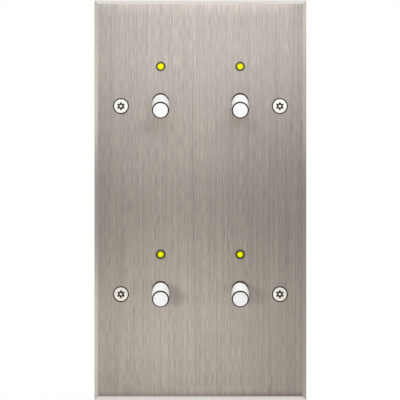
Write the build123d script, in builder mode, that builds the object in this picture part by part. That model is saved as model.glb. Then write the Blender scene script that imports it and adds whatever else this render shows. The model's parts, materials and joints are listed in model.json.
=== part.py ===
import os
from math import cos, radians, sin, sqrt, tan

from build123d import *

# Two-gang metal switch plate with four toggle levers, a lamp above each lever and,
# behind the plate, a change-over contact mechanism for every lever.
# X runs to the right seen from the front, Z up and Y into the wall.
# The origin is the middle of the plate's back face, which lies on the wall.

# Face plate
plate_width = 80.0
plate_height = 151.0
plate_thickness = 2.5
plate_bevel = 1.4

# Layout seen from the front
gang_pitch = 71.0
fixing_spacing = 60.0
toggle_spacing = 30.0
lamp_rise = 15.0

# Fixing screws, raised countersunk, with a six-lobe recess and a pin in it
fixing_radius = 1.5
fixing_neck_radius = 1.33
fixing_hole_clearance = 0.2
fixing_head_radius = 2.6
fixing_head_sink = 0.45
fixing_head_rise = 0.65
fixing_length = 20.0
fixing_point = 0.5
recess_core_radius = 0.98
recess_lobe_radius = 0.45
recess_lobe_circle = 1.08
recess_pin_radius = 0.45
recess_depth = 1.3
sink_angle = 90.0
seat_gap = 0.02

# Levers
lever_tilt = 13.0
lever_length = 15.3
lever_tip_radius = 3.25
lever_grip_radius = 3.15
lever_neck_radius = 2.5
lever_ball_radius = 3.05
lever_shoulder = 0.5
lever_shoulder_clearance = 0.15
lever_rim = 0.42
trunnion_radius = 0.75
trunnion_reach = 5.0
trunnion_cover = 0.1
bearing_clearance = 0.05
swing_clearance = 0.2
tail_radius = 1.9
tail_length = 10.0
bore_radius = 1.25
bore_floor = 2.0

# Spring plungers in the lever tails
plunger_clearance = 0.1
plunger_reach = 13.0
spring_length = 2.5
spring_clearance = 0.05
spring_wall = 0.4

# See-saw rockers
rocker_tilt = 8.0
rocker_distance = 16.0
rocker_width = 4.4
rocker_thickness = 0.8
rocker_track_clearance = 0.15
track_half_angle = 45.0
knife_radius = 0.8
knife_clearance = 0.1
arm_reach = 7.4

# Contacts
contact_reach = 6.2
contact_head_radius = 1.2
contact_shank_radius = 0.6
contact_shank_clearance = 0.02
contact_dome_radius = 2.0
contact_edge = 0.2
contact_gap = 0.08
fixed_contact_thickness = 0.6

# Carrier discs
carrier_radius = 28.0
carrier_width = 51.6
carrier_thickness = 1.2

# Weld studs and nuts
stud_radius = 1.5
stud_length = 6.0
stud_point = 0.4
stud_hole_clearance = 0.1
stud_rise = 23.5
stud_drop = 15.0
stud_spread = 34.0
nut_across_flats = 5.5
nut_height = 2.4
nut_chamfer = 0.4

# Switch housings
housing_side = 20.0
housing_corner = 1.0
housing_edge = 0.6
housing_wall = 1.6
floor_thickness = 1.7
floor_depth = 17.1
pocket_depth = 6.4
boss_offset = 7.2
boss_radius = 2.2
rib_thickness = 1.1
rib_clearance = 0.5
rib_start = 4.0
rib_length = 5.0

# Housing screws
housing_screw_radius = 1.25
housing_screw_head_radius = 2.2
housing_screw_length = 8.0
housing_screw_clearance = 0.1
slot_width = 0.6
slot_depth = 0.6

# Terminals
terminal_pitch = 6.8
terminal_width = 5.0
terminal_height = 4.4
terminal_depth = 5.4
terminal_clearance = 0.1
post_width = 4.8
post_height = 3.0
blade_thickness = 0.8
blade_width = 4.0
blade_edge_gap = 0.2
wire_radius = 1.3
wire_entry_clearance = 0.1
wire_depth = 2.2
clamp_screw_radius = 1.2
clamp_thread_clearance = 0.05
clamp_screw_head_radius = 1.7
clamp_screw_head_height = 1.2
clamp_screw_length = 1.8

# Lamps and their holders
lamp_radius = 1.5
lamp_flange_radius = 1.75
lamp_flange_thickness = 1.0
lamp_length = 5.0
lamp_recess = 0.1
holder_nose_radius = 1.8
holder_nose_rise = 0.1
holder_lip_radius = 1.22
holder_lip_thickness = 0.5
holder_body_radius = 2.4
holder_fit = 0.05
lamp_fit = 0.1
lead_radius = 0.25
lead_spacing = 2.54
lead_hole_clearance = 0.1
lead_stub = 0.6

# Lamp boards
board_width = 38.0
board_height = 7.2
board_rise = 16.2
board_thickness = 1.6
board_standoff = 6.8
spacer_radius = 2.2
spacer_spread = 18.0
spacer_spigot_radius = 1.5
spacer_bore_clearance = 0.05
board_screw_radius = 1.25
board_screw_head_radius = 2.3
board_screw_head_height = 1.5
board_screw_grip = 4.0
resistor_width = 3.2
resistor_height = 1.6
resistor_thickness = 0.6
resistor_gap = 0.6
resistor_lift = 1.6

# Board terminals
connector_width = 11.0
connector_height = 6.4
connector_depth = 8.0
connector_pitch = 5.0
connector_edge = 0.5
connector_wire_side = 2.6
connector_wire_depth = 4.6
connector_wire_setback = 2.2
connector_well_radius = 1.5
connector_well_depth = 3.0
connector_screw_clearance = 0.1
connector_screw_height = 1.4

# Values worked out from the sizes above
back = (0, 1, 0)
plate_front = -plate_thickness
pivot_y = -(trunnion_radius + trunnion_cover)
front_distance = plate_thickness + pivot_y
tilt = radians(lever_tilt)
lever_drop = lever_length * sin(tilt)
lever_hole_radius = lever_ball_radius + swing_clearance
neck_start = sqrt(lever_ball_radius**2 - lever_neck_radius**2)
neck_end = (
    front_distance + lever_shoulder_clearance + lever_neck_radius * sin(tilt)
) / cos(tilt)
ball_end = -sqrt(lever_ball_radius**2 - tail_radius**2)
plunger_radius = bore_radius - plunger_clearance
rocker_y = pivot_y + rocker_distance
rest_tilt = radians(rocker_tilt)
fixing_hole_radius = fixing_radius + fixing_hole_clearance
fixing_sink_radius = fixing_head_radius + fixing_head_sink
stud_hole_radius = stud_radius + stud_hole_clearance
holder_hole_radius = holder_nose_radius + holder_fit
spigot_hole_radius = spacer_spigot_radius + holder_fit
housing_front = carrier_thickness
floor_front = housing_front + floor_depth
floor_back = floor_front + floor_thickness
housing_back = floor_back + pocket_depth
cavity_side = housing_side - 2 * housing_wall
pocket_width = terminal_width + 2 * terminal_clearance
pocket_height = terminal_height + 2 * terminal_clearance
terminal_places = (-terminal_pitch, 0.0, terminal_pitch)
board_front = carrier_thickness + board_standoff
board_back = board_front + board_thickness

# The plunger's tip moves along an arc in the rocker's own frame, found from its
# middle point and its end point
track_middle = plunger_reach - rocker_distance
end_y = plunger_reach * cos(tilt) - rocker_distance
end_z = plunger_reach * sin(tilt)
track_end_y = end_y * cos(rest_tilt) - end_z * sin(rest_tilt)
track_end_z = end_y * sin(rest_tilt) + end_z * cos(rest_tilt)
track_sag = track_middle - track_end_y
track_path_radius = (track_end_z**2 + track_sag**2) / (2 * track_sag)
track_centre = track_middle - track_path_radius
track_front_radius = track_path_radius + plunger_radius + rocker_track_clearance
track_back_radius = track_front_radius + rocker_thickness
track_angle = radians(track_half_angle)
arm_front = track_centre + track_front_radius * cos(track_angle)
arm_back = arm_front + rocker_thickness
track_back_z = sqrt(track_back_radius**2 - (arm_back - track_centre) ** 2)

# The moving contact's dome in the rocker's frame, and where it meets the fixed one
dome_rise = contact_dome_radius - sqrt(contact_dome_radius**2 - contact_head_radius**2)
dome_apex = arm_back + contact_edge + dome_rise
dome_centre = dome_apex - contact_dome_radius
fixed_contact_y = (
    rocker_y
    + dome_centre * cos(rest_tilt)
    + contact_reach * sin(rest_tilt)
    + contact_dome_radius
    + contact_gap
)
fixed_contact_rise = contact_reach * cos(rest_tilt) - dome_centre * sin(rest_tilt)
blade_front = fixed_contact_y + fixed_contact_thickness
blade_outer = cavity_side / 2 - blade_edge_gap
blade_inner = 2 * fixed_contact_rise - blade_outer

rows = {"upper": gang_pitch / 2, "lower": -gang_pitch / 2}
sides = {"left": -toggle_spacing / 2, "right": toggle_spacing / 2}
fixing_points = [(x, z) for z in rows.values() for x in (-fixing_spacing / 2, fixing_spacing / 2)]
modules = [(f"{row}_{side}", x, z) for row, z in rows.items() for side, x in sides.items()]
boss_points = ((-boss_offset, boss_offset), (boss_offset, -boss_offset))
stud_points = ((0, stud_rise), (-stud_spread / 2, -stud_drop), (stud_spread / 2, -stud_drop))
spacer_points = ((-spacer_spread / 2, board_rise), (spacer_spread / 2, board_rise))


# A plane seen from the front: local x is X and local y is Z
def facing(y, x=0.0, z=0.0):
    return Plane(origin=(x, y, z), x_dir=(1, 0, 0), z_dir=(0, -1, 0))


# A plane across X: local x runs back and local y up
def side_on(x, y, z):
    return Plane(origin=(x, y, z), x_dir=(0, 1, 0), z_dir=(1, 0, 0))


# The half profile of a round piece along Y, as radius and depth, turned about its axis
def turn(x, z, *points):
    with BuildSketch(Plane(origin=(x, 0, z), x_dir=(1, 0, 0), z_dir=(0, 0, 1))) as profile:
        with BuildLine():
            Polyline(*points, close=True)
        make_face()
    revolve(profile.sketch, axis=Axis((x, 0, z), back))


# A straight screwdriver slot across a screw head that ends at depth y
def driver_slot(y, x, z, length):
    with BuildSketch(facing(y, x, z)) as slot:
        Rectangle(length, slot_width)
    extrude(slot.sketch, amount=slot_depth, both=True, mode=Mode.SUBTRACT)


def pivot_height(z):
    return z + lever_drop / 2


def keep(builder, label):
    builder.part.label = label
    export_step(builder.part, f"parts/{label}.step")


os.makedirs("parts", exist_ok=True)

# Face plate: bevelled front, countersunk fixing holes, round lever and lamp holes,
# and a groove in the back for each pair of lever trunnions
with BuildPart() as face_plate:
    with BuildSketch(facing(plate_front)):
        Rectangle(plate_width, plate_height)
    extrude(amount=plate_thickness, dir=back)
    chamfer(face_plate.faces().sort_by(Axis.Y)[0].edges(), plate_bevel)
    with BuildSketch(facing(plate_front)):
        with Locations(*[(x, pivot_height(z)) for _, x, z in modules]):
            Circle(lever_hole_radius)
        with Locations(*[(x, z + lamp_rise) for _, x, z in modules]):
            Circle(holder_hole_radius)
    extrude(amount=plate_thickness, dir=back, mode=Mode.SUBTRACT)
    for _, x, z in modules:
        with BuildSketch(side_on(x, pivot_y, pivot_height(z))):
            Circle(trunnion_radius + bearing_clearance)
            Rectangle(
                -pivot_y,
                2 * (trunnion_radius + bearing_clearance),
                align=(Align.MIN, Align.CENTER),
            )
        extrude(amount=trunnion_reach + swing_clearance, both=True, mode=Mode.SUBTRACT)
    with Locations(facing(plate_front)):
        with Locations(*fixing_points):
            CounterSinkHole(
                fixing_hole_radius, fixing_sink_radius, counter_sink_angle=sink_angle
            )
keep(face_plate, "face_plate")

# Fixing screws: raised head with a six-lobe recess round a pin, plain neck and thread
head_edge = plate_front + fixing_head_sink - seat_gap
head_root = head_edge + (fixing_head_radius - fixing_neck_radius) / tan(radians(sink_angle / 2))
with BuildPart() as fixing_screws:
    for x, z in fixing_points:
        with BuildSketch(Plane(origin=(x, 0, z), x_dir=(1, 0, 0), z_dir=(0, 0, 1))):
            with BuildLine():
                crown = SagittaArc(
                    (-fixing_head_radius, head_edge),
                    (fixing_head_radius, head_edge),
                    -fixing_head_rise,
                )
                Polyline(
                    crown @ 1,
                    (fixing_neck_radius, head_root),
                    (fixing_neck_radius, 0),
                    (fixing_radius, 0),
                    (fixing_radius, fixing_length - fixing_point),
                    (fixing_radius - fixing_point, fixing_length),
                    (fixing_point - fixing_radius, fixing_length),
                    (-fixing_radius, fixing_length - fixing_point),
                    (-fixing_radius, 0),
                    (-fixing_neck_radius, 0),
                    (-fixing_neck_radius, head_root),
                    crown @ 0,
                )
            make_face()
            Rectangle(
                fixing_head_radius,
                2 * fixing_length,
                align=(Align.MAX, Align.CENTER),
                mode=Mode.SUBTRACT,
            )
        revolve(axis=Axis((x, 0, z), back))
        with BuildSketch(facing(head_edge - fixing_head_rise, x, z)):
            Circle(recess_core_radius)
            with PolarLocations(recess_lobe_circle, 6, start_angle=90):
                Circle(recess_lobe_radius)
            Circle(recess_pin_radius, mode=Mode.SUBTRACT)
        extrude(amount=recess_depth, dir=back, mode=Mode.SUBTRACT)
keep(fixing_screws, "fixing_screws")

# Carrier discs, weld studs and nuts: they hold each gang's switches to the plate
for row, z in rows.items():
    with BuildPart() as carrier:
        with BuildSketch(facing(0, 0, z)):
            Circle(carrier_radius)
            Rectangle(carrier_width, 2 * carrier_radius, mode=Mode.INTERSECT)
            with Locations(*[(x, lever_drop / 2) for x in sides.values()]):
                Circle(lever_hole_radius, mode=Mode.SUBTRACT)
            with Locations(*[(x, lamp_rise) for x in sides.values()]):
                Circle(holder_hole_radius, mode=Mode.SUBTRACT)
            with Locations(*stud_points):
                Circle(stud_hole_radius, mode=Mode.SUBTRACT)
            with Locations(*spacer_points):
                Circle(spigot_hole_radius, mode=Mode.SUBTRACT)
        extrude(amount=carrier_thickness, dir=back)
        for x in sides.values():
            with Locations(facing(0, x, pivot_height(z))):
                with Locations(*boss_points):
                    CounterSinkHole(
                        housing_screw_radius + housing_screw_clearance,
                        housing_screw_head_radius + seat_gap,
                        counter_sink_angle=sink_angle,
                    )
    keep(carrier, f"carrier_{row}")

with BuildPart() as weld_studs:
    for z in rows.values():
        for dx, dz in stud_points:
            turn(
                dx,
                z + dz,
                (0, 0),
                (stud_radius, 0),
                (stud_radius, stud_length - stud_point),
                (stud_radius - stud_point, stud_length),
                (0, stud_length),
            )
keep(weld_studs, "weld_studs")

with BuildPart() as stud_nuts:
    for z in rows.values():
        for dx, dz in stud_points:
            with BuildSketch(facing(carrier_thickness, dx, z + dz)):
                RegularPolygon(nut_across_flats / 2, 6, major_radius=False)
            extrude(amount=nut_height, dir=back)
    for nut in stud_nuts.solids():
        chamfer(nut.faces().sort_by(Axis.Y)[-1].edges(), nut_chamfer)
    for z in rows.values():
        with BuildSketch(facing(carrier_thickness, 0, z)):
            with Locations(*stud_points):
                Circle(stud_radius + seat_gap)
        extrude(amount=nut_height, dir=back, mode=Mode.SUBTRACT)
keep(stud_nuts, "stud_nuts")

# Switch mechanisms, one behind each lever
for name, x, row_z in modules:
    z = pivot_height(row_z)
    lever_pivot = (x, pivot_y, z)
    lever_plane = Plane(
        origin=lever_pivot, x_dir=(1, 0, 0), z_dir=(0, sin(tilt), -cos(tilt))
    )
    lever_axis = Axis(lever_pivot, (0, -cos(tilt), -sin(tilt)))
    rocker_pivot = Vector(x, rocker_y, z)
    rocker_back = Vector(0, cos(rest_tilt), -sin(rest_tilt))
    rocker_up = Vector(0, sin(rest_tilt), cos(rest_tilt))
    rocker_plane = Plane(origin=rocker_pivot, x_dir=rocker_back, z_dir=(1, 0, 0))

    # Lever: grip with a chamfered end, narrower neck that keeps clear of the plate as the
    # lever swings, ball that fills the hole at every angle, two trunnions, hollow tail
    with BuildPart() as lever:
        with BuildSketch(lever_plane):
            with BuildLine():
                ball = RadiusArc(
                    (lever_neck_radius, neck_start),
                    (tail_radius, ball_end),
                    lever_ball_radius,
                )
                Polyline(
                    ball @ 1,
                    (tail_radius, -tail_length),
                    (bore_radius, -tail_length),
                    (bore_radius, -bore_floor),
                    (0, -bore_floor),
                    (0, lever_length),
                    (lever_tip_radius - lever_rim, lever_length),
                    (lever_tip_radius, lever_length - lever_rim),
                    (lever_grip_radius, neck_end + lever_shoulder),
                    (lever_neck_radius, neck_end),
                    ball @ 0,
                )
            make_face()
        revolve(axis=lever_axis)
        with BuildSketch(side_on(*lever_pivot)):
            Circle(trunnion_radius)
        extrude(amount=trunnion_reach, both=True)
    keep(lever, f"lever_{name}")

    # Spring and plunger in the hollow tail
    with BuildPart() as plunger_spring:
        with BuildSketch(lever_plane):
            with Locations((bore_radius - spring_clearance, -bore_floor)):
                Rectangle(spring_wall, spring_length, align=(Align.MAX, Align.MAX))
        revolve(axis=lever_axis)
    keep(plunger_spring, f"plunger_spring_{name}")

    with BuildPart() as plunger:
        with BuildSketch(lever_plane):
            with BuildLine():
                nose = RadiusArc(
                    (plunger_radius, -plunger_reach),
                    (0, -plunger_reach - plunger_radius),
                    plunger_radius,
                )
                Polyline(
                    nose @ 1,
                    (0, -bore_floor - spring_length),
                    (plunger_radius, -bore_floor - spring_length),
                    nose @ 0,
                )
            make_face()
        revolve(axis=lever_axis)
    keep(plunger, f"plunger_{name}")

    # Rocker: a bent strip with a curved track for the plunger and a knife edge below it
    track_z = track_front_radius * sin(track_angle)
    with BuildPart() as rocker:
        with BuildSketch(rocker_plane):
            with BuildLine():
                front = ThreePointArc(
                    (arm_front, track_z),
                    (track_centre + track_front_radius, 0),
                    (arm_front, -track_z),
                )
                rear = ThreePointArc(
                    (arm_back, -track_back_z),
                    (track_centre + track_back_radius, 0),
                    (arm_back, track_back_z),
                )
                Polyline(
                    front @ 1, (arm_front, -arm_reach), (arm_back, -arm_reach), rear @ 0
                )
                Polyline(rear @ 1, (arm_back, arm_reach), (arm_front, arm_reach), front @ 0)
            make_face()
            Rectangle(
                -track_centre - track_front_radius,
                2 * knife_radius,
                align=(Align.MAX, Align.CENTER),
            )
            Circle(knife_radius)
            with BuildLine():
                CenterArc((track_centre, 0), track_front_radius, 0, 360)
            make_face(mode=Mode.SUBTRACT)
        extrude(amount=rocker_width / 2, both=True)
        with BuildSketch(
            Plane(
                origin=rocker_pivot + rocker_back * arm_front,
                x_dir=(1, 0, 0),
                z_dir=rocker_back,
            )
        ):
            with Locations((0, contact_reach), (0, -contact_reach)):
                Circle(contact_shank_radius + contact_shank_clearance)
        extrude(amount=rocker_thickness, mode=Mode.SUBTRACT)
    keep(rocker, f"rocker_{name}")

    # Domed contact rivets through the rocker's arms
    with BuildPart() as rocker_contacts:
        for reach in (contact_reach, -contact_reach):
            rivet_foot = rocker_pivot + rocker_up * reach
            with BuildSketch(Plane(origin=rivet_foot, x_dir=rocker_back, z_dir=(1, 0, 0))):
                with BuildLine():
                    dome = RadiusArc(
                        (arm_back + contact_edge, contact_head_radius),
                        (dome_apex, 0),
                        contact_dome_radius,
                    )
                    Polyline(
                        dome @ 1,
                        (arm_front, 0),
                        (arm_front, contact_shank_radius),
                        (arm_back, contact_shank_radius),
                        (arm_back, contact_head_radius),
                        dome @ 0,
                    )
                make_face()
            revolve(axis=Axis(rivet_foot, rocker_back))
    keep(rocker_contacts, f"rocker_contacts_{name}")

    # Housing: moulded box, open to the carrier, with guide ribs, screw bosses, slots in
    # the floor for the terminals, and pockets behind it with wire holes from the sides
    with BuildPart() as housing:
        with BuildSketch(facing(housing_front, x, z)):
            RectangleRounded(housing_side, housing_side, housing_corner)
        extrude(amount=housing_back - housing_front, dir=back)
        chamfer(housing.faces().sort_by(Axis.Y)[-1].edges(), housing_edge)
        with BuildSketch(facing(housing_front, x, z)):
            Rectangle(cavity_side, cavity_side)
            with Locations(*boss_points):
                Circle(boss_radius, mode=Mode.SUBTRACT)
        extrude(amount=floor_depth, dir=back, mode=Mode.SUBTRACT)
        rib_middle = tail_radius + rib_clearance + rib_thickness / 2
        with BuildSketch(facing(housing_front + rib_start, x, z)):
            with Locations((-rib_middle, 0), (rib_middle, 0)):
                Rectangle(rib_thickness, cavity_side)
        extrude(amount=rib_length, dir=back)
        with BuildSketch(facing(floor_front, x, z)):
            Rectangle(
                post_width + 2 * terminal_clearance, post_height + 2 * terminal_clearance
            )
            for up in (1, -1):
                with Locations((0, up * (blade_outer - blade_thickness / 2))):
                    Rectangle(
                        blade_width + 2 * terminal_clearance,
                        blade_thickness + 2 * terminal_clearance,
                    )
        extrude(amount=floor_thickness, dir=back, mode=Mode.SUBTRACT)
        with BuildSketch(facing(floor_back, x, z)):
            with Locations(*[(0, rise) for rise in terminal_places]):
                Rectangle(pocket_width, pocket_height)
        extrude(amount=pocket_depth, dir=back, mode=Mode.SUBTRACT)
        with BuildSketch(side_on(x, floor_back + wire_depth, z)):
            with Locations(*[(0, rise) for rise in terminal_places]):
                Circle(wire_radius + wire_entry_clearance)
        extrude(amount=housing_side, both=True, mode=Mode.SUBTRACT)
        with Locations(facing(housing_front, x, z)):
            with Locations(*boss_points):
                Hole(housing_screw_radius + seat_gap, depth=housing_screw_length)
    keep(housing, f"housing_{name}")

    # Common terminal: a post with the groove that the rocker's knife edge rides in
    with BuildPart() as common_terminal:
        with BuildSketch(facing(rocker_y, x, z)):
            Rectangle(post_width, post_height)
        extrude(amount=floor_back - rocker_y, dir=back)
        with BuildSketch(facing(floor_back, x, z)):
            Rectangle(terminal_width, terminal_height)
        extrude(amount=terminal_depth, dir=back)
        with BuildSketch(side_on(x, rocker_y, z)):
            Circle(knife_radius + knife_clearance)
            with Locations((wire_depth + floor_back - rocker_y, 0)):
                Circle(wire_radius)
        extrude(amount=terminal_width, both=True, mode=Mode.SUBTRACT)
        with Locations(facing(floor_back + wire_depth, x, z)):
            Hole(clamp_screw_radius + clamp_thread_clearance, depth=terminal_depth)
    keep(common_terminal, f"common_terminal_{name}")

    # Line terminals: a bent blade that carries the fixed contact, and a clamp block
    with BuildPart() as line_terminals:
        for up in (1, -1):
            rise = z + up * terminal_pitch
            blade_middle = z + up * (blade_inner + blade_outer) / 2
            leg_middle = z + up * (blade_outer - blade_thickness / 2)
            with BuildSketch(facing(blade_front, x, blade_middle)):
                Rectangle(blade_width, blade_outer - blade_inner)
            extrude(amount=blade_thickness, dir=back)
            with BuildSketch(facing(blade_front, x, leg_middle)):
                Rectangle(blade_width, blade_thickness)
            extrude(amount=floor_back - blade_front, dir=back)
            with BuildSketch(facing(floor_back, x, rise)):
                Rectangle(terminal_width, terminal_height)
            extrude(amount=terminal_depth, dir=back)
            with BuildSketch(side_on(x, floor_back + wire_depth, rise)):
                Circle(wire_radius)
            extrude(amount=terminal_width, both=True, mode=Mode.SUBTRACT)
            with Locations(facing(floor_back + wire_depth, x, rise)):
                Hole(clamp_screw_radius + clamp_thread_clearance, depth=terminal_depth)
    keep(line_terminals, f"line_terminals_{name}")

# Fixed contacts on the line terminals' blades
with BuildPart() as fixed_contacts:
    for _, x, row_z in modules:
        with BuildSketch(facing(fixed_contact_y, x, pivot_height(row_z))):
            with Locations((0, fixed_contact_rise), (0, -fixed_contact_rise)):
                Circle(contact_head_radius)
        extrude(amount=fixed_contact_thickness, dir=back)
keep(fixed_contacts, "fixed_contacts")

# Clamp screws in the backs of the terminals
clamp_head_front = floor_back + terminal_depth
clamp_head_back = clamp_head_front + clamp_screw_head_height
with BuildPart() as terminal_screws:
    for _, x, row_z in modules:
        for rise in terminal_places:
            screw_z = pivot_height(row_z) + rise
            turn(
                x,
                screw_z,
                (0, clamp_head_front - clamp_screw_length),
                (clamp_screw_radius, clamp_head_front - clamp_screw_length),
                (clamp_screw_radius, clamp_head_front),
                (clamp_screw_head_radius, clamp_head_front),
                (clamp_screw_head_radius, clamp_head_back),
                (0, clamp_head_back),
            )
            driver_slot(clamp_head_back, x, screw_z, 2 * clamp_screw_head_radius)
keep(terminal_screws, "terminal_screws")

# Countersunk screws from the carriers into the housings' bosses
sink_depth = (housing_screw_head_radius - housing_screw_radius) / tan(radians(sink_angle / 2))
with BuildPart() as housing_screws:
    for _, x, row_z in modules:
        for dx, dz in boss_points:
            screw_z = pivot_height(row_z) + dz
            turn(
                x + dx,
                screw_z,
                (0, seat_gap),
                (housing_screw_head_radius, seat_gap),
                (housing_screw_radius, seat_gap + sink_depth),
                (housing_screw_radius, housing_screw_length),
                (0, housing_screw_length),
            )
            driver_slot(seat_gap, x + dx, screw_z, 2 * housing_screw_head_radius)
keep(housing_screws, "housing_screws")

# Lamps, one above each lever, each in a black holder behind the plate
lamp_apex = plate_front - holder_nose_rise + lamp_recess
flange_front = lamp_apex + lamp_length
flange_back = flange_front + lamp_flange_thickness
holder_front = plate_front - holder_nose_rise
lamp_bore_radius = lamp_radius + lamp_fit
for name, x, row_z in modules:
    z = row_z + lamp_rise
    with BuildPart() as lamp:
        with BuildSketch(Plane(origin=(x, 0, z), x_dir=(1, 0, 0), z_dir=(0, 0, 1))):
            with BuildLine():
                lens = RadiusArc((0, lamp_apex), (lamp_radius, lamp_apex + lamp_radius), -lamp_radius)
                Polyline(
                    lens @ 1,
                    (lamp_radius, flange_front),
                    (lamp_flange_radius, flange_front),
                    (lamp_flange_radius, flange_back),
                    (0, flange_back),
                    lens @ 0,
                )
            make_face()
        revolve(axis=Axis((x, 0, z), back))
    keep(lamp, f"lamp_{name}")

    with BuildPart() as lamp_holder:
        turn(
            x,
            z,
            (holder_lip_radius, holder_front),
            (holder_nose_radius, holder_front),
            (holder_nose_radius, carrier_thickness),
            (holder_body_radius, carrier_thickness),
            (holder_body_radius, board_front),
            (lamp_flange_radius + lamp_fit, board_front),
            (lamp_flange_radius + lamp_fit, flange_front),
            (lamp_bore_radius, flange_front),
            (lamp_bore_radius, holder_front + holder_lip_thickness),
            (holder_lip_radius, holder_front + holder_lip_thickness),
        )
    keep(lamp_holder, f"lamp_holder_{name}")

with BuildPart() as lamp_leads:
    for _, x, row_z in modules:
        with BuildSketch(facing(flange_back, x, row_z + lamp_rise)):
            with GridLocations(lead_spacing, 1, 2, 1):
                Circle(lead_radius)
        extrude(amount=board_back + lead_stub - flange_back, dir=back)
keep(lamp_leads, "lamp_leads")

# Lamp boards with their spacers, screws, chip resistors and wire terminals
for row, z in rows.items():
    with BuildPart() as lamp_board:
        with BuildSketch(facing(board_front, 0, z)):
            with Locations((0, board_rise)):
                Rectangle(board_width, board_height)
            with Locations(*spacer_points):
                Circle(board_screw_radius + housing_screw_clearance, mode=Mode.SUBTRACT)
            with Locations(*[(x, lamp_rise) for x in sides.values()]):
                with GridLocations(lead_spacing, 1, 2, 1):
                    Circle(lead_radius + lead_hole_clearance, mode=Mode.SUBTRACT)
        extrude(amount=board_thickness, dir=back)
    keep(lamp_board, f"lamp_board_{row}")

    # Two-pole terminal: wire openings on top, screw wells at the back
    with BuildPart() as board_terminal:
        with BuildSketch(facing(board_back, 0, z + board_rise)):
            Rectangle(connector_width, connector_height)
        extrude(amount=connector_depth, dir=back)
        chamfer(board_terminal.faces().sort_by(Axis.Y)[-1].edges(), connector_edge)
        top = z + board_rise + connector_height / 2
        with BuildSketch(Plane.XY.offset(top)):
            with Locations((0, board_back + connector_wire_setback)):
                with GridLocations(connector_pitch, 1, 2, 1):
                    Rectangle(connector_wire_side, connector_wire_side)
        extrude(amount=-connector_wire_depth, mode=Mode.SUBTRACT)
        with BuildSketch(facing(board_back + connector_depth, 0, z + board_rise)):
            with GridLocations(connector_pitch, 1, 2, 1):
                Circle(connector_well_radius)
        extrude(amount=connector_well_depth, mode=Mode.SUBTRACT)
    keep(board_terminal, f"board_terminal_{row}")

connector_screw_back = board_back + connector_depth - connector_well_depth + connector_screw_height
connector_screw_radius = connector_well_radius - connector_screw_clearance
with BuildPart() as board_terminal_screws:
    for z in rows.values():
        for x in (-connector_pitch / 2, connector_pitch / 2):
            with BuildSketch(facing(connector_screw_back, x, z + board_rise)):
                Circle(connector_screw_radius)
            extrude(amount=connector_screw_height)
            driver_slot(connector_screw_back, x, z + board_rise, 2 * connector_screw_radius)
keep(board_terminal_screws, "board_terminal_screws")

with BuildPart() as board_spacers:
    for z in rows.values():
        for dx, dz in spacer_points:
            turn(
                dx,
                z + dz,
                (0, 0),
                (spacer_spigot_radius, 0),
                (spacer_spigot_radius, carrier_thickness),
                (spacer_radius, carrier_thickness),
                (spacer_radius, board_front),
                (board_screw_radius + spacer_bore_clearance, board_front),
                (board_screw_radius + spacer_bore_clearance, board_front - board_screw_grip),
                (0, board_front - board_screw_grip),
            )
keep(board_spacers, "board_spacers")

board_head_back = board_back + board_screw_head_height
with BuildPart() as board_screws:
    for z in rows.values():
        for dx, dz in spacer_points:
            turn(
                dx,
                z + dz,
                (0, board_front - board_screw_grip),
                (board_screw_radius, board_front - board_screw_grip),
                (board_screw_radius, board_back),
                (board_screw_head_radius, board_back),
                (board_screw_head_radius, board_head_back),
                (0, board_head_back),
            )
            driver_slot(board_head_back, dx, z + dz, 2 * board_screw_head_radius)
keep(board_screws, "board_screws")

resistor_reach = spacer_spread / 2 + board_screw_head_radius + resistor_gap + resistor_width / 2
with BuildPart() as resistors:
    for z in rows.values():
        with BuildSketch(facing(board_back, 0, z + board_rise + resistor_lift)):
            with GridLocations(2 * resistor_reach, 1, 2, 1):
                Rectangle(resistor_width, resistor_height)
        extrude(amount=resistor_thickness, dir=back)
keep(resistors, "resistors")
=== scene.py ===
import json
import math

import bmesh
import bpy
from mathutils import Matrix, Vector


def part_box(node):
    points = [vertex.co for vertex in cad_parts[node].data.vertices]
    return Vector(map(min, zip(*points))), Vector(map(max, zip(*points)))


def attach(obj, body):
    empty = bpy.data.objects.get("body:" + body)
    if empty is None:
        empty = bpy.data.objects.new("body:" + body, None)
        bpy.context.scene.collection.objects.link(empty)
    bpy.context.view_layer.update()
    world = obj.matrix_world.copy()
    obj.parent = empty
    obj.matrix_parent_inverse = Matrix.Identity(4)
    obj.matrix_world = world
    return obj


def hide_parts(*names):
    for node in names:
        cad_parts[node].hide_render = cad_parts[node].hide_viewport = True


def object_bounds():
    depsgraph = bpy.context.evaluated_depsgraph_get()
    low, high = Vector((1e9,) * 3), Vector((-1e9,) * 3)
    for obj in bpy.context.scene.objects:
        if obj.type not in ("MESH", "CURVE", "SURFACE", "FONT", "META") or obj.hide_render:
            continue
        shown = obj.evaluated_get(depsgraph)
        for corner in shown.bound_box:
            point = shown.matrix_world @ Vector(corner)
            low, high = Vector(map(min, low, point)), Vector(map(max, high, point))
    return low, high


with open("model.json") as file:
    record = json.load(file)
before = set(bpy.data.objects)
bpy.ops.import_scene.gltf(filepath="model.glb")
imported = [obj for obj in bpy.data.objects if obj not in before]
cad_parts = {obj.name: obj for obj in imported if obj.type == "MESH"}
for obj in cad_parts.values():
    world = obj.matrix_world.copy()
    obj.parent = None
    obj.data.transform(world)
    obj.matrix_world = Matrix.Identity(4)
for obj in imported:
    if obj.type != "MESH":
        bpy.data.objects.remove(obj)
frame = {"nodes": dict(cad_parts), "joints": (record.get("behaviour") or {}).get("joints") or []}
cadBox = [list(corner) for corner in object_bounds()]
nodes = frame["nodes"]
scene = bpy.context.scene
scene.view_settings.view_transform = "Standard"
print("frame loaded:", len(nodes), "nodes")

mm = 0.001
toMm = 1000.0
sides = ("upper_left", "upper_right", "lower_left", "lower_right")
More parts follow.
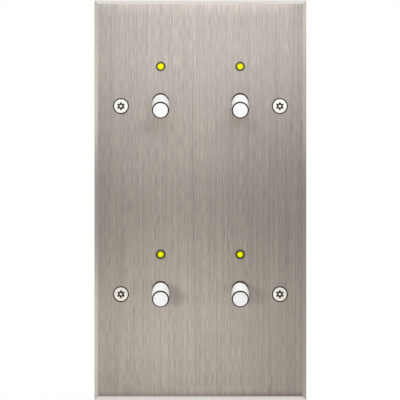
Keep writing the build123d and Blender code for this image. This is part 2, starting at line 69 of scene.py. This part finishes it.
# millimetres from the middle of the plate, and the lamps' rise above their row
layout = {"row": 35.5, "toggle": 15.0, "fixing": 30.0, "lampRise": 15.0}
coarse = {"detail": 3.0, "rough": 0.6}  # noise settings of the soft mottles
whiteLight = (1.0, 1.0, 1.0, 1.0)


class Wire:
    # one socket of a node tree: arithmetic on it adds Math nodes
    def __init__(self, tree, socket=None):
        self.tree = tree
        self.socket = socket

    def add(self, kind, settings=None, sockets=None, out=0):  # any node, its settings and what its sockets take
        node = self.tree.nodes.new(kind)
        for key, value in (settings or {}).items():
            setattr(node, key, value)
        for key, value in (sockets or {}).items():
            if isinstance(value, Wire):
                self.tree.links.new(value.socket, node.inputs[key])
            else:
                node.inputs[key].default_value = value
        return Wire(self.tree, node.outputs[out])

    def outs(self, keys):  # several outputs of the node that this socket is on
        return [Wire(self.tree, self.socket.node.outputs[key]) for key in keys]

    def calc(self, operation, *values):
        return self.add("ShaderNodeMath", {"operation": operation}, dict(enumerate(values)))

    def alone(self, operation):
        return self.calc(operation, self)

    def __add__(self, other):
        return self.calc("ADD", self, other)

    def __radd__(self, other):
        return self.calc("ADD", other, self)

    def __sub__(self, other):
        return self.calc("SUBTRACT", self, other)

    def __rsub__(self, other):
        return self.calc("SUBTRACT", other, self)

    def __mul__(self, other):
        return self.calc("MULTIPLY", self, other)

    def __rmul__(self, other):
        return self.calc("MULTIPLY", other, self)

    def __truediv__(self, other):
        return self.calc("DIVIDE", self, other)

    def __abs__(self):
        return self.alone("ABSOLUTE")

    def most(self, other):
        return self.calc("MAXIMUM", self, other)

    def least(self, other):
        return self.calc("MINIMUM", self, other)

    def waves(self, rate):  # between 0 and 1, rate in radians per unit
        return (self * rate).alone("SINE") * 0.5 + 0.5

    def rise(self, low, high):  # 0 below low, 1 above high, smooth between
        return self.add("ShaderNodeMapRange", {"interpolation_type": "SMOOTHSTEP"},
                        {"Value": self, "From Min": low, "From Max": high})

    def past(self, limit, soft):  # 0 before the limit, 1 after it
        return self.rise(limit - soft, limit + soft)

    def blend(self, first, second):  # colours, this wire as the share of the second
        return self.add("ShaderNodeMix", {"data_type": "RGBA"},
                        {0: self, 6: asColour(first), 7: asColour(second)}, 2)

    def xyz(self):
        return self.add("ShaderNodeSeparateXYZ", None, {0: self}).outs(range(3))

    def rays(self):  # camera, mirrored and passed rays
        return self.add("ShaderNodeLightPath").outs(("Is Camera Ray", "Is Glossy Ray", "Is Transmission Ray"))

    def vector(self, operation, other):
        return self.add("ShaderNodeVectorMath", {"operation": operation}, {0: self, 1: other})

    def grain(self, stretch, detail=2.0, rough=0.5):  # noise in features per millimetre, one number or one per axis
        stretch = stretch if isinstance(stretch, tuple) else (stretch, stretch, stretch)
        return self.add("ShaderNodeTexNoise", None, {"Vector": self.vector("MULTIPLY", stretch), "Scale": 1.0,
                                                     "Detail": detail, "Roughness": rough})


class Finish:
    # a material with its shader, and the place on the object in millimetres
    def __init__(self, name, **fixed):
        self.material = bpy.data.materials.new(name)
        self.material.use_nodes = True
        tree = self.material.node_tree
        self.shader = tree.nodes["Principled BSDF"]
        for key, value in fixed.items():
            self.shader.inputs[key.replace("_", " ")].default_value = value
        self.wire = Wire(tree)
        place = self.wire.add("ShaderNodeTexCoord", None, None, "Object")
        self.place = place.add("ShaderNodeVectorMath", {"operation": "SCALE"}, {0: place, "Scale": toMm})
        self.x, self.y, self.z = self.place.xyz()

    def feed(self, **values):
        for key, value in values.items():
            self.wire.tree.links.new(value.socket, self.shader.inputs[key.replace("_", " ")])

    def bump(self, height, depth, strength=1.0):  # depth in millimetres for a height of 1
        normal = height.add("ShaderNodeBump", None,
                            {"Strength": strength, "Distance": depth * mm, "Height": height})
        self.feed(Normal=normal)


def asColour(value):
    return value if isinstance(value, Wire) else (*value[:3], 1.0)


def distance(first, second):
    return (first * first + second * second).alone("SQRT")


def fromRow(height):  # above or below the nearer row of levers
    return height - layout["row"] * height.alone("SIGN")


def dress(finish, *names):
    for name in names:
        materials = nodes[name].data.materials
        materials.clear()
        materials.append(finish.material)


def around(*stems):
    return [stem + "_" + side for stem in stems for side in sides]


def both(key):
    return (-layout[key], layout[key])


# camera straight in front, far off with a long lens, framing the full height of the plate
view = {"distance": 3.0, "frameHeight": 0.151, "aside": -0.00015, "lift": 0.00006, "faceFront": 0.0025,
        "sensor": 36.0, "farthest": 50.0}
lens = bpy.data.cameras.new("camera")
lens.sensor_width = view["sensor"]
lens.lens = view["sensor"] * view["distance"] / view["frameHeight"]
lens.clip_end = view["farthest"]
camera = bpy.data.objects.new("camera", lens)
camera.location = (view["aside"], -view["distance"] - view["faceFront"], view["lift"])
camera.rotation_euler = (math.pi / 2, 0.0, 0.0)
scene.collection.objects.link(camera)
scene.camera = camera

# lamps: place, aim, width, height, spread in degrees and power; a narrow spread keeps a lamp to one part of the plate
lamps = {
    "top_left": ((-0.10, -0.22, 0.24), (-0.01, 0.0, 0.06), 0.16, 0.10, 26, 0.0042),
    "top_right": ((0.12, -0.22, 0.20), (0.008, 0.0, 0.06), 0.16, 0.10, 22, 0.0048),
    "crown_wide": ((0.0, -0.08, 0.14), (0.0, 0.0, 0.084), 0.08, 0.01, 18, 0.0007),
    "crown_narrow": ((0.0, -0.12, 0.10), (0.0, 0.0, 0.079), 0.07, 0.008, 8, 0.0006),
    "near_left": ((-0.06, -0.20, 0.14), (-0.004, 0.0, 0.058), 0.10, 0.05, 22, 0.0042),
    "near_right": ((0.06, -0.20, 0.14), (0.004, 0.0, 0.058), 0.10, 0.05, 22, 0.0048),
    "high_left": ((-0.22, -0.22, 0.10), (-0.008, 0.0, 0.062), 0.12, 0.10, 22, 0.0012),
    "high_right": ((0.22, -0.22, 0.10), (0.008, 0.0, 0.062), 0.12, 0.10, 22, 0.0014),
    "middle_left": ((-0.20, -0.20, 0.0), (0.0, 0.0, 0.0), 0.16, 0.12, 25, 0.0012),
    "middle_front": ((-0.02, -0.30, 0.10), (-0.01, 0.0, 0.0), 0.08, 0.05, 25, 0.0005),
    "middle_under": ((-0.012, -0.22, -0.06), (-0.006, 0.0, 0.022), 0.05, 0.02, 10, 0.00032),
    "middle_low": ((-0.012, -0.25, -0.06), (-0.010, 0.0, -0.010), 0.03, 0.04, 12, 0.00018),
    "low_left": ((-0.10, -0.20, -0.045), (-0.004, 0.0, -0.055), 0.06, 0.03, 25, 0.00255),
    "low_right": ((0.10, -0.20, -0.045), (-0.004, 0.0, -0.055), 0.06, 0.03, 25, 0.00085),
    "low_front": ((-0.02, -0.22, -0.045), (-0.01, 0.0, -0.06), 0.06, 0.03, 50, 0.0009),
    "graze_left": ((-0.12, -0.035, 0.12), (0.0, -0.01, -0.04), 0.04, 0.03, 25, 0.0031),
    "graze_right": ((0.12, -0.035, 0.12), (0.0, -0.01, -0.04), 0.04, 0.03, 25, 0.0034),
    "graze_high_left": ((-0.12, -0.035, 0.20), (0.0, -0.01, 0.045), 0.04, 0.03, 25, 0.0007),
    "graze_high_right": ((0.12, -0.035, 0.20), (0.0, -0.01, 0.045), 0.04, 0.03, 25, 0.0007),
    "edge_left_high": ((-0.16, -0.002, 0.055), (-0.04, -0.002, 0.055), 0.06, 0.07, 40, 0.0006),
    "edge_left_low": ((-0.16, -0.002, -0.052), (-0.04, -0.002, -0.052), 0.06, 0.05, 40, 0.00026),
    "edge_right_high": ((0.16, -0.002, 0.085), (0.04, -0.002, 0.085), 0.06, 0.06, 40, 0.0007),
    "edge_right_middle": ((0.16, -0.002, 0.045), (0.04, -0.002, 0.045), 0.06, 0.05, 40, 0.0003),
    "back_soft": ((0.25, 0.45, 0.35), (0.0, 0.01, 0.0), 0.4, 0.4, 180, 2.0),
}
# the upper lamps are a little cooler, and stronger by what their colour takes away
coolLamps = {"names": ("top", "crown", "near", "high"), "colour": (0.913, 0.947, 1.0), "gain": 1.05}
for name, (place, aim, width, height, spread, power) in lamps.items():
    lamp = bpy.data.lights.new(name, "AREA")
    lamp.shape = "RECTANGLE"
    lamp.size = width
    lamp.size_y = height
    lamp.spread = math.radians(spread)
    lamp.energy = power
    if name.startswith(coolLamps["names"]):
        lamp.color = coolLamps["colour"]
        lamp.energy = power * coolLamps["gain"]
    holder = bpy.data.objects.new(name, lamp)
    holder.location = place
    holder.rotation_euler = (Vector(aim) - Vector(place)).to_track_quat("-Z", "Y").to_euler()
    holder.visible_camera = False
    scene.collection.objects.link(holder)

# world: white to the camera; metal sees white above, below and behind, and grey at the sides and in front;
# the soft light that reaches plain surfaces is weaker from the sides, which models round white pieces
room = {"ambient": 0.61, "lessFromSides": 0.40, "overhead": 0.75, "overheadRise": (0.2, 1.0),
        "front": 0.02, "side": 0.20, "sideRise": (-0.65, -0.1), "leftToRight": -0.095,
        "poleRise": (0.55, 0.97), "behindRise": (0.2, 0.7)}
world = bpy.data.worlds.new("studio")
scene.world = world
world.use_nodes = True
sky = Wire(world.node_tree)
isCamera, isGlossy, isThrough = sky.rays()
dx, dy, dz = sky.add("ShaderNodeTexCoord", None, None, "Generated").xyz()
sideGrey = room["side"] - room["front"] + room["leftToRight"] * dx
grey = room["front"] + sideGrey * dy.rise(*room["sideRise"])
mirrored = grey.most(abs(dz).rise(*room["poleRise"]).most(dy.rise(*room["behindRise"])))
soft = room["ambient"] - room["lessFromSides"] * abs(dx) + room["overhead"] * dz.rise(*room["overheadRise"])
plain = sky.add("ShaderNodeBackground", None, {"Color": whiteLight, "Strength": soft})
seen = sky.add("ShaderNodeBackground", None,
               {"Color": whiteLight, "Strength": isCamera.most(mirrored * (1 - isCamera))})
studio = sky.add("ShaderNodeMixShader", None, {0: isCamera.most(isGlossy).most(isThrough), 1: plain, 2: seen})
world.node_tree.nodes.remove(world.node_tree.nodes["Background"])
world.node_tree.links.new(studio.socket, world.node_tree.nodes["World Output"].inputs["Surface"])

# floor at the plate's lower edge, fading to plain white away from the object
floorSet = {"half": 2.5, "below": 0.0001, "paint": (0.86, 0.86, 0.86, 1.0), "rough": 0.9, "nearShow": 0.86,
            "fade": (100.0, 450.0)}
floorMesh = bpy.data.meshes.new("floor")
sheet = bmesh.new()
bmesh.ops.create_grid(sheet, x_segments=1, y_segments=1, size=floorSet["half"])
bmesh.ops.translate(sheet, verts=sheet.verts, vec=(0.0, 0.0, cadBox[0][2] - floorSet["below"]))
sheet.to_mesh(floorMesh)
sheet.free()
floor = bpy.data.objects.new("floor", floorMesh)
scene.collection.objects.link(floor)
paint = Finish("floor_white", Roughness=floorSet["rough"], Base_Color=floorSet["paint"])
toCamera, toGlossy, toThrough = paint.wire.rays()
fade = distance(paint.x, paint.y).rise(*floorSet["fade"])
share = toCamera.most(toGlossy).most(toThrough) * (floorSet["nearShow"] + (1 - floorSet["nearShow"]) * fade)
glow = paint.wire.add("ShaderNodeEmission", None, {"Color": whiteLight, "Strength": 1.0})
painted = Wire(paint.wire.tree, paint.shader.outputs[0])
joined = paint.wire.add("ShaderNodeMixShader", None, {0: share, 1: painted, 2: glow})
paint.wire.tree.links.new(joined.socket, paint.wire.tree.nodes["Material Output"].inputs["Surface"])
floorMesh.materials.append(paint.material)
print("camera, lamps and floor placed")

# brushed face: upright streaks, a brighter polished cut on the bevelled edge, side bevels painted darker as painted
# shade, countersinks painted dark as painted shade, and a painted shadow band at the foot, deeper towards the right
face = {"dark": (0.24, 0.213, 0.184), "light": (0.655, 0.587, 0.517), "toneRise": (0.236, 0.716),
        "fine": (6.6, 0.4, 0.2), "long": (5.6, 0.4, 0.012), "broad": (0.9, 0.4, 0.02),
        "longShift": (31.3, 0.0, 41.7), "fineShare": 0.385, "longShare": 0.467, "broadShare": 0.1,
        "rough": 0.44, "roughSpread": 0.12, "bumpDepth": 0.008, "bumpStrength": 0.35,
        "halfWidth": 40.0, "halfHeight": 75.5, "bevel": 1.4, "bevelSoft": 0.03, "backRise": (-0.05, -0.01),
        "edge": (0.74, 0.71, 0.67), "side": (0.58, 0.525, 0.47), "edgeRough": 0.3,
        "sink": (0.02, 0.018, 0.016), "sinkRadius": 3.075, "sinkSoft": 0.016,
        "sinkFrom": (-2.49, -2.46), "sinkTo": (-1.0, -0.9),
        "foot": (0.05, 0.04, 0.03), "footBand": 2.6, "footShare": 0.34, "footLeft": 0.8, "footMore": 0.4}
steel = Finish("brushed_face", Metallic=1.0)
fine = steel.place.grain(face["fine"])
broad = steel.place.grain(face["broad"])
# two long grains half a period apart along the height, so that their contrast is even from top to bottom
longHere = steel.place.grain(face["long"])
longThere = steel.place.vector("ADD", face["longShift"]).grain(face["long"])
long = (longHere + longThere) * 0.5
streak = fine * face["fineShare"] + long * face["longShare"] + broad * face["broadShare"]
tone = streak.rise(*face["toneRise"]).blend(face["dark"], face["light"])
# the countersink cones round the fixing screws are painted near black: painted shade in the gap round each head
fromFixing = distance(abs(steel.x) - layout["fixing"], abs(steel.z) - layout["row"])
sinkPaintedShade = (1 - fromFixing.past(face["sinkRadius"], face["sinkSoft"])) * steel.y.rise(*face["sinkFrom"])
tone = (sinkPaintedShade * (1 - steel.y.rise(*face["sinkTo"]))).blend(tone, face["sink"])
# painted shade: a dark band along the foot just above the lower bevel, deeper towards the right
foot = face["bevel"] - face["halfHeight"]
footPaintedShade = (1 - steel.z.rise(foot, foot + face["footBand"])) * face["footShare"]
footShadeToRight = steel.x.rise(-face["halfWidth"], face["halfWidth"])
tone = (footPaintedShade * (face["footLeft"] + face["footMore"] * footShadeToRight)).blend(tone, face["foot"])
fromSide = abs(steel.x) - (face["halfWidth"] - face["bevel"])
fromEnd = abs(steel.z) - (face["halfHeight"] - face["bevel"])
edgeCut = fromSide.most(fromEnd).past(0.0, face["bevelSoft"]) * (1 - steel.y.rise(*face["backRise"]))
# the side bevels take the darker side colour: painted shade on the same polished cut as the top and bottom bevels
sideBevelShade = (fromSide - fromEnd).past(0.0, face["bevelSoft"])
steel.feed(Base_Color=edgeCut.blend(tone, sideBevelShade.blend(face["edge"], face["side"])),
           Roughness=(face["rough"] + face["roughSpread"] * fine) * (1 - edgeCut) + face["edgeRough"] * edgeCut)
steel.bump((fine + long) * (1 - edgeCut), face["bumpDepth"], face["bumpStrength"])
dress(steel, "face_plate")

# polished fixing screws: turned rings on the head, a head mostly diffuse pale cream as a painted reflection, the
# recess painted dark as painted shade, plain metal behind the plate
fixing = {"bright": (0.985, 0.925, 0.825), "worn": (0.95, 0.885, 0.785), "wear": 1.2, "headMetal": 0.12,
          "rough": 0.32, "roughSpread": 0.12, "rings": 14.0, "bumpDepth": 0.004, "shankRise": (0.0, 0.2),
          "recess": (0.04, 0.034, 0.028), "recessRadius": 1.54, "recessSoft": 0.04, "recessRough": 0.1,
          "recessFrom": (-2.55, -2.25), "recessTo": (-0.9, -0.8)}
polish = Finish("polished_screw")
fromAxis = distance(abs(polish.x) - layout["fixing"], abs(polish.z) - layout["row"])
wear = polish.place.grain(fixing["wear"], **coarse)
# the six-lobe recess is painted dark: painted shade in the pocket
recessPaintedShade = polish.y.rise(*fixing["recessFrom"]) * (1 - fromAxis.past(fixing["recessRadius"], fixing["recessSoft"]))
recessPaintedShade = recessPaintedShade * (1 - polish.y.rise(*fixing["recessTo"]))
shank = polish.y.rise(*fixing["shankRise"])
# the head is little metal and pale cream: a painted reflection standing in for the bright mirror of a polished head
polish.feed(Base_Color=recessPaintedShade.blend(wear.blend(fixing["bright"], fixing["worn"]), fixing["recess"]),
            Roughness=fixing["rough"] + fixing["roughSpread"] * wear + fixing["recessRough"] * recessPaintedShade,
            Metallic=fixing["headMetal"] + (1 - fixing["headMetal"]) * shank)
polish.bump(fromAxis.waves(fixing["rings"]) * (1 - shank) + wear * shank, fixing["bumpDepth"])
dress(polish, "fixing_screws")
print("face and screws finished")

# white levers: each one reads its own pivot; a dark ink ring on the end's edge, and the ball at the root painted dark
# as painted shade in the gap round the lever
lever = {"tilt": 13.0, "length": 15.3, "rim": 0.42, "rimSoft": 0.06, "ringInside": 2.74, "ringSoft": 0.02,
         "ballFrom": 0.9, "ballSoft": 0.03, "ink": (0.012, 0.011, 0.01), "inkRough": 0.3,
         "white": (0.90, 0.90, 0.89), "shade": (0.87, 0.865, 0.85), "shadeRise": (0.3, 0.75), "mottle": 0.9,
         "dust": 9.0, "rough": 0.4, "roughSpread": 0.12, "coat": 0.12, "coatRough": 0.3, "specular": 0.4,
         "bumpDepth": 0.004, "bumpStrength": 0.5}
leverJoints = [joint for joint in frame["joints"] if joint["name"].startswith("lever_swing")]
tiltCos, tiltSin = math.cos(math.radians(lever["tilt"])), math.sin(math.radians(lever["tilt"]))
rimFrom = lever["length"] - lever["rim"]
for joint in leverJoints:
    white = Finish("white_" + joint["child"], Coat_Roughness=lever["coatRough"], Specular_IOR_Level=lever["specular"])
    axes = zip((white.x, white.y, white.z), joint["pos_m"])
    sideways, forth, up = [axis - pivot * toMm for axis, pivot in axes]
    along = forth * -tiltCos + up * -tiltSin
    outward = distance(sideways, up * tiltCos - forth * tiltSin)
    onRing = along.rise(rimFrom - lever["rimSoft"], rimFrom) * outward.past(lever["ringInside"], lever["ringSoft"])
    # besides the ink ring, the ball below ballFrom takes the same dark colour: painted shade in the gap between lever
    # and plate
    rimInkAndBallShade = onRing.most(1 - along.past(lever["ballFrom"], lever["ballSoft"]))
    mottle = white.place.grain(lever["mottle"], **coarse)
    clean = mottle.rise(*lever["shadeRise"]).blend(lever["white"], lever["shade"])
    white.feed(Base_Color=rimInkAndBallShade.blend(clean, lever["ink"]), Coat_Weight=lever["coat"] * (1 - rimInkAndBallShade),
               Roughness=lever["rough"] + lever["roughSpread"] * mottle + lever["inkRough"] * rimInkAndBallShade)
    white.bump(white.place.grain(lever["dust"]), lever["bumpDepth"], lever["bumpStrength"])
    dress(white, joint["child"])

# yellow lamps, lit from inside, a little deeper towards the edge
lampSet = {"core": (0.96, 0.95, 0.0), "edge": (0.88, 0.80, 0.0), "edgeRise": (0.2, 1.5), "edgeShare": 0.8,
           "flutter": 2.0, "flutterShare": 0.2, "rough": 0.3, "glow": 0.25, "specular": 0.12}
glass = Finish("yellow_lens", Roughness=lampSet["rough"], Emission_Strength=lampSet["glow"],
               Specular_IOR_Level=lampSet["specular"])
fromLamp = distance(abs(glass.x) - layout["toggle"], abs(glass.z - layout["lampRise"]) - layout["row"])
deeper = fromLamp.rise(*lampSet["edgeRise"]) * lampSet["edgeShare"]
deeper = deeper + glass.place.grain(lampSet["flutter"]) * lampSet["flutterShare"]
yellow = deeper.blend(lampSet["core"], lampSet["edge"])
glass.feed(Base_Color=yellow, Emission_Color=yellow)
dress(glass, *around("lamp"))
print("levers and lamps finished")

# metals and mouldings behind the plate: two tones, mottle per millimetre, roughness, its spread, bump depth, metal
speckle = {"rise": (0.3, 0.7), "dustFiner": 9, "dustShare": 0.5, "bumpStrength": 0.6}
behind = {
    "zinc_steel": ((0.60, 0.62, 0.64), (0.70, 0.69, 0.64), 0.35, 0.34, 0.2, 0.006, 1.0),
    "bright_pin": ((0.74, 0.73, 0.71), (0.66, 0.65, 0.63), 0.8, 0.22, 0.1, 0.002, 1.0),
    "spring_wire": ((0.50, 0.49, 0.47), (0.58, 0.57, 0.54), 1.5, 0.3, 0.1, 0.002, 1.0),
    "copper_strip": ((0.86, 0.46, 0.30), (0.76, 0.37, 0.23), 0.5, 0.32, 0.15, 0.004, 1.0),
    "silver_contact": ((0.90, 0.89, 0.86), (0.80, 0.78, 0.73), 1.0, 0.25, 0.15, 0.003, 1.0),
    "black_moulding": ((0.022, 0.022, 0.024), (0.034, 0.034, 0.036), 0.5, 0.5, 0.2, 0.01, 0.0),
    "lamp_surround": ((0.035, 0.03, 0.005), (0.025, 0.022, 0.004), 0.8, 0.5, 0.2, 0.006, 0.0),
    "brass_terminal": ((0.80, 0.60, 0.28), (0.68, 0.48, 0.20), 0.5, 0.34, 0.2, 0.004, 1.0),
    "clamp_screw": ((0.66, 0.66, 0.65), (0.74, 0.72, 0.66), 0.8, 0.28, 0.15, 0.003, 1.0),
    "tinned_wire": ((0.78, 0.78, 0.77), (0.68, 0.68, 0.67), 1.2, 0.3, 0.15, 0.003, 1.0),
    "green_moulding": ((0.05, 0.28, 0.10), (0.065, 0.32, 0.12), 0.5, 0.45, 0.15, 0.008, 0.0),
}
wearers = {
    "zinc_steel": ["carrier_upper", "carrier_lower", "weld_studs", "stud_nuts", "housing_screws", "board_spacers",
                   "board_screws"],
    "bright_pin": around("plunger"),
    "spring_wire": around("plunger_spring"),
    "copper_strip": around("rocker"),
    "silver_contact": ["fixed_contacts"] + around("rocker_contacts"),
    "black_moulding": around("housing"),
    "lamp_surround": around("lamp_holder"),
    "brass_terminal": around("common_terminal", "line_terminals"),
    "clamp_screw": ["board_terminal_screws"],
    "tinned_wire": ["lamp_leads"],
    "green_moulding": ["board_terminal_upper", "board_terminal_lower"],
}
finishes = {}
for name, (first, second, scale, rough, roughSpread, depth, metal) in behind.items():
    finish = Finish(name, Metallic=metal)
    mottle = finish.place.grain(scale, **coarse)
    dust = finish.place.grain(scale * speckle["dustFiner"])
    finish.feed(Base_Color=mottle.rise(*speckle["rise"]).blend(first, second),
                Roughness=rough + roughSpread * (mottle - 0.5))
    finish.bump(dust * speckle["dustShare"] + mottle * (1 - speckle["dustShare"]), depth, speckle["bumpStrength"])
    dress(finish, *wearers[name])
    finishes[name] = finish

# clamp screws of the switches: turned heads with the slot painted dark as painted shade; each slot lies level, across
# the head
clamp = {"pitch": 6.8, "pivotRise": 1.7209, "slotHalf": 0.3, "slotSoft": 0.02, "topRise": (25.9, 25.95),
         "bright": (0.70, 0.69, 0.66), "dull": (0.58, 0.57, 0.54), "dullRise": (0.3, 0.7), "mottle": 0.9,
         "slot": (0.03, 0.028, 0.025), "slotRough": 0.3, "rough": 0.26, "roughSpread": 0.12, "rings": 24.0,
         "mottleBump": 0.2, "bumpDepth": 0.012, "bumpStrength": 0.6}
slotted = Finish("slotted_clamp_screw", Metallic=1.0)
fromPivot = fromRow(slotted.z) - clamp["pivotRise"]
screwUp = fromPivot - (fromPivot / clamp["pitch"]).alone("ROUND") * clamp["pitch"]
onTop = slotted.y.rise(*clamp["topRise"])
# the slot is painted dark: painted shade inside the slot
slotPaintedShade = onTop * (1 - abs(screwUp).past(clamp["slotHalf"], clamp["slotSoft"]))
turned = distance(screwUp, abs(slotted.x) - layout["toggle"]).waves(clamp["rings"])
mottle = slotted.place.grain(clamp["mottle"], **coarse)
headTone = mottle.rise(*clamp["dullRise"]).blend(clamp["bright"], clamp["dull"])
slotted.feed(Base_Color=slotPaintedShade.blend(headTone, clamp["slot"]),
             Roughness=clamp["rough"] + clamp["roughSpread"] * mottle + clamp["slotRough"] * slotPaintedShade)
slotted.bump(turned * onTop * (1 - slotPaintedShade) + mottle * clamp["mottleBump"], clamp["bumpDepth"], clamp["bumpStrength"])
dress(slotted, "terminal_screws")

# moulded edges of the housings and the board terminals, slightly rounded
mould = {"round": 0.3, "segments": 2, "angle": 50.0, "joinWithin": 1e-6}
for name in wearers["black_moulding"] + wearers["green_moulding"]:
    weld = nodes[name].modifiers.new("weld", "WELD")
    weld.merge_threshold = mould["joinWithin"]
    soften = nodes[name].modifiers.new("soften", "BEVEL")
    soften.width = mould["round"] * mm
    soften.segments = mould["segments"]
    soften.limit_method = "ANGLE"
    soften.angle_limit = math.radians(mould["angle"])
    soften.harden_normals = True

# lamp boards: green laminate with paler tracks and bright pads round the leads
board = {"green": (0.02, 0.13, 0.05), "paleGreen": (0.03, 0.16, 0.065), "track": (0.04, 0.24, 0.09),
         "pad": (0.75, 0.74, 0.70), "lead": 1.27, "leadRise": 15.0, "padRadius": 0.85, "trackRise": (15.0, 17.8),
         "trackHalf": 0.45, "trackEnd": (17.3, 17.4), "soft": 0.05, "weave": 2.5, "rough": 0.36,
         "roughSpread": 0.1, "weaveBump": 0.15, "bumpDepth": 0.03}
laminate = Finish("board_laminate")
rowZ = fromRow(laminate.z)
padX = abs(abs(laminate.x) - layout["toggle"]) - board["lead"]
padZ = rowZ - board["leadRise"]
onPad = 1 - (padX * padX + padZ * padZ).past(board["padRadius"] ** 2, board["soft"])
fromTrack = abs(rowZ - board["trackRise"][0]).least(abs(rowZ - board["trackRise"][1]))
onTrack = (1 - fromTrack.past(board["trackHalf"], board["soft"])) * (1 - abs(laminate.x).rise(*board["trackEnd"]))
weave = laminate.place.grain(board["weave"])
green = onTrack.blend(weave.blend(board["green"], board["paleGreen"]), board["track"])
laminate.feed(Base_Color=onPad.blend(green, board["pad"]), Metallic=onPad,
              Roughness=board["rough"] + board["roughSpread"] * weave)
laminate.bump(onTrack.most(onPad) + weave * board["weaveBump"], board["bumpDepth"])
dress(laminate, "lamp_board_upper", "lamp_board_lower")

# chip resistors: dark body with tinned ends
chip = {"middle": 13.5, "bodyHalf": 1.15, "soft": 0.03, "body": (0.03, 0.03, 0.035), "paleBody": (0.05, 0.05, 0.055),
        "end": (0.72, 0.72, 0.70), "dust": 6.0, "rough": 0.5, "endSmoother": 0.2, "bumpDepth": 0.006,
        "bumpStrength": 0.5}
resistor = Finish("resistor_body")
isEnd = abs(abs(resistor.x) - chip["middle"]).past(chip["bodyHalf"], chip["soft"])
dust = resistor.place.grain(chip["dust"])
resistor.feed(Base_Color=isEnd.blend(dust.blend(chip["body"], chip["paleBody"]), chip["end"]), Metallic=isEnd,
              Roughness=chip["rough"] - chip["endSmoother"] * isEnd)
resistor.bump(dust, chip["bumpDepth"], chip["bumpStrength"])
dress(resistor, "resistors")
print("pieces behind the plate finished")


def newPiece(name, shape, finish, joinWithin=1e-7):
    mesh = bpy.data.meshes.new(name)
    bmesh.ops.remove_doubles(shape, verts=shape.verts, dist=joinWithin)
    bmesh.ops.recalc_face_normals(shape, faces=shape.faces)
    shape.to_mesh(mesh)
    shape.free()
    mesh.materials.append(finish.material)
    for polygon in mesh.polygons:
        polygon.use_smooth = True
    piece = bpy.data.objects.new(name, mesh)
    scene.collection.objects.link(piece)
    return piece


def windWire(shape, start, axis, radius, wire, corners, rise, turns, steps):
    # a section of the given radius and number of corners, wound round the axis from the start
    out = axis.orthogonal().normalized()
    facing = Matrix((axis, out, axis.cross(out))).transposed().to_4x4()
    ring = bmesh.ops.create_circle(shape, cap_ends=False, segments=corners, radius=wire,
                                   matrix=Matrix.Translation(start + out * radius) @ facing)["verts"]
    edges = {edge for vert in ring for edge in vert.link_edges}
    whole = int(turns * steps)
    bmesh.ops.spin(shape, geom=list(ring) + list(edges), cent=start, axis=axis, dvec=axis * (rise / whole),
                   angle=turns * 2 * math.pi, steps=whole, use_merge=False, use_duplicate=False)
    bmesh.ops.holes_fill(shape, edges=[edge for edge in shape.edges if edge.is_boundary], sides=corners)


# coil springs that press the plungers, wound along each lever's tail
coil = {"outer": 1.2, "wire": 0.16, "turns": 5.0, "from": 2.0, "to": 4.5, "steps": 20, "corners": 8}
tail = Vector((0.0, tiltCos, tiltSin))
for joint in leverJoints:
    side = joint["child"].replace("lever_", "")
    start = Vector(joint["pos_m"]) + tail * (coil["from"] + coil["wire"]) * mm
    winding = bmesh.new()
    windWire(winding, start, tail, (coil["outer"] - coil["wire"]) * mm, coil["wire"] * mm, coil["corners"],
             (coil["to"] - coil["from"] - 2 * coil["wire"]) * mm, coil["turns"], coil["steps"])
    spring = newPiece("coil_spring_" + side, winding, finishes["spring_wire"])
    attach(spring, joint["child"])
    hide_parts("plunger_spring_" + side)

# screw threads on the fixing screws and on the studs beyond their nuts
thread = {"radius": 1.44, "ridge": 0.14, "corners": 3, "pitch": 0.5, "steps": 16, "fixingFrom": 0.4,
          "fixingTo": 19.2, "studs": ((0.0, 23.5), (-17.0, -15.0), (17.0, -15.0)), "studOut": 0.2, "studTo": 5.4}
backwards = Vector((0.0, 1.0, 0.0))
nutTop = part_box("stud_nuts")[1][1] / mm
runs = {
    "fixing_threads": ([(x, z) for x in both("fixing") for z in both("row")],
                       thread["fixingFrom"], thread["fixingTo"], polish, "screw_steel"),
    "stud_threads": ([(x, z + up) for x, up in thread["studs"] for z in both("row")],
                     nutTop + thread["studOut"], thread["studTo"], finishes["zinc_steel"], "zinc_steel"),
}
for name, (places, low, high, finish, slot) in runs.items():
    winding = bmesh.new()
    for x, z in places:
        windWire(winding, Vector((x, low, z)) * mm, backwards, thread["radius"] * mm, thread["ridge"] * mm,
                 thread["corners"], (high - low) * mm, (high - low) / thread["pitch"], thread["steps"])
    ridges = newPiece(name, winding, finish)
    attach(ridges, "plate")

# solder round each lamp lead on the back of the boards
solder = {"base": 0.72, "top": 0.3, "height": 0.42, "sunk": 0.02, "boardBack": 9.6, "corners": 16}
solderY = solder["boardBack"] + solder["height"] / 2 - solder["sunk"]
upright = Matrix.Rotation(-math.pi / 2, 4, "X")
cones = bmesh.new()
for x in both("toggle"):
    for z in both("row"):
        for lead in (-board["lead"], board["lead"]):
            middle = Vector((x + lead, solderY, z + board["leadRise"])) * mm
            bmesh.ops.create_cone(cones, cap_ends=True, segments=solder["corners"], radius1=solder["base"] * mm,
                                  radius2=solder["top"] * mm, depth=solder["height"] * mm,
                                  matrix=Matrix.Translation(middle) @ upright)
fillets = newPiece("solder_fillets", cones, finishes["tinned_wire"])
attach(fillets, "plate")
print("springs, threads and solder added")
